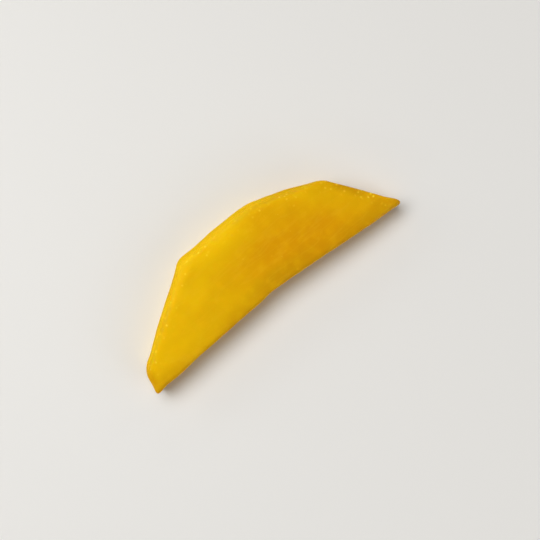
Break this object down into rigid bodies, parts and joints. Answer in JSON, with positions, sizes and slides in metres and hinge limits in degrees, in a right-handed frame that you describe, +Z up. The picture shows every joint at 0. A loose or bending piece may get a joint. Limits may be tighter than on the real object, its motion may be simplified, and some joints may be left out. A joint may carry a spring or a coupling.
{
  "type": "mango chunk",
  "caption": "Long peeled slice of ripe mango, flat on both cut faces, with a faceted peeled edge, a slightly hollow stone side and a pointed stalk end.",
  "frame": {"origin": "bottom centre of the box round the slice, on the cut face that it rests on", "axes": "+X runs along the slice to its stalk end, +Y from the stone side to the peeled side, and +Z is up, through its thickness"},
  "size_m": [0.093, 0.03, 0.0108],
  "materials": {
    "mango_flesh": "moist, satin"
  },
  "bodies": {
    "root": {"mango_chunk": "mango_flesh"}
  },
  "joints": []
}
